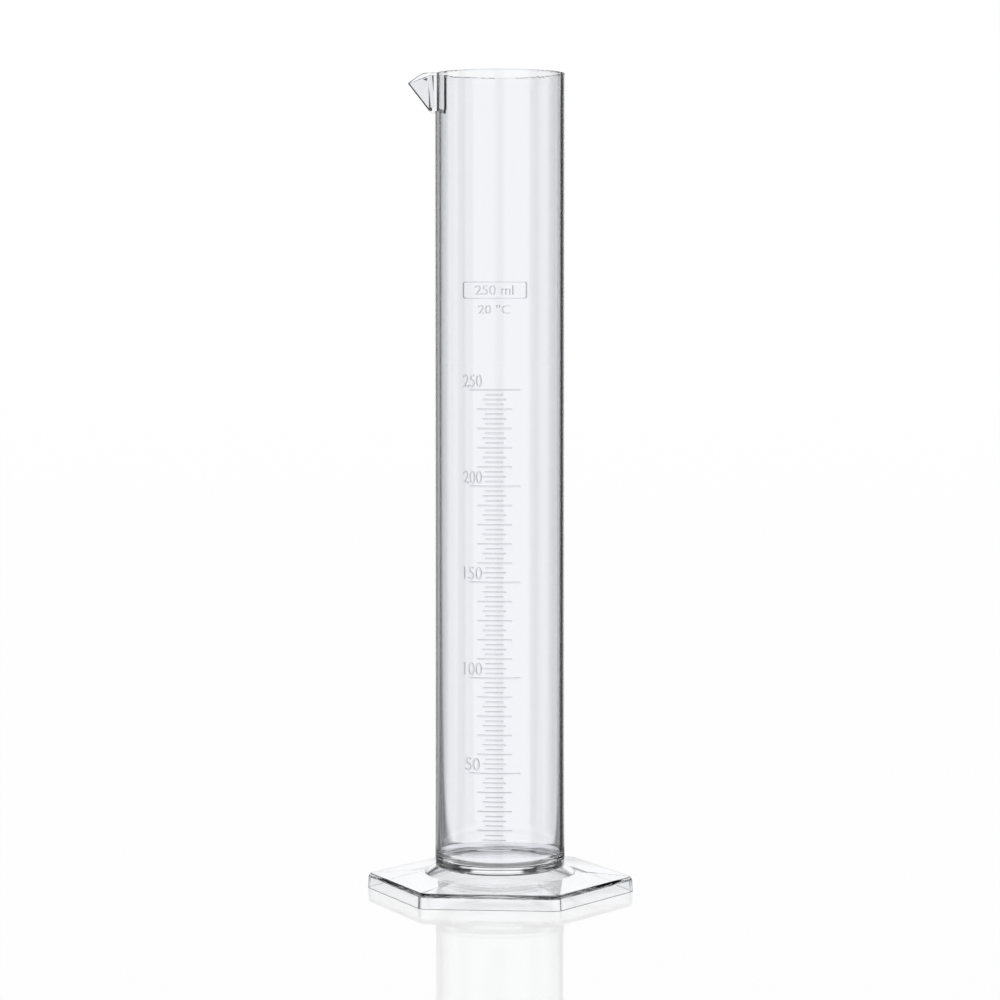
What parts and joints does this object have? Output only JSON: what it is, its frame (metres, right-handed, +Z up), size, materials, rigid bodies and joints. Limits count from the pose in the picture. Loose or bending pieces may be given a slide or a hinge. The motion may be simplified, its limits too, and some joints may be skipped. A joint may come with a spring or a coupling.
{
  "type": "graduated cylinder",
  "caption": "Tall clear plastic measuring cylinder with a V-shaped pouring spout, a raised volume scale with numerals and a hollow hexagonal foot.",
  "frame": {"origin": "centre of the foot's resting plane", "axes": "+Z up along the tube, the scale faces -Y, the spout points to -X"},
  "size_m": [0.0958, 0.084, 0.292],
  "materials": {
    "clear_plastic": "clear, glossy, injection moulded",
    "raised_marks": "clear, raised from the tube, slightly satin"
  },
  "bodies": {
    "root": {"tube": "clear_plastic", "pour_spout": "clear_plastic", "foot": "clear_plastic", "graduation_lines_50ml": "raised_marks", "graduation_lines_10ml": "raised_marks", "graduation_lines_5ml": "raised_marks", "graduation_lines_2_5ml": "raised_marks", "numeral_50": "raised_marks", "numeral_100": "raised_marks", "numeral_150": "raised_marks", "numeral_200": "raised_marks", "numeral_250": "raised_marks", "label_frame": "raised_marks", "capacity_label": "raised_marks", "temperature_label": "raised_marks"}
  },
  "joints": []
}
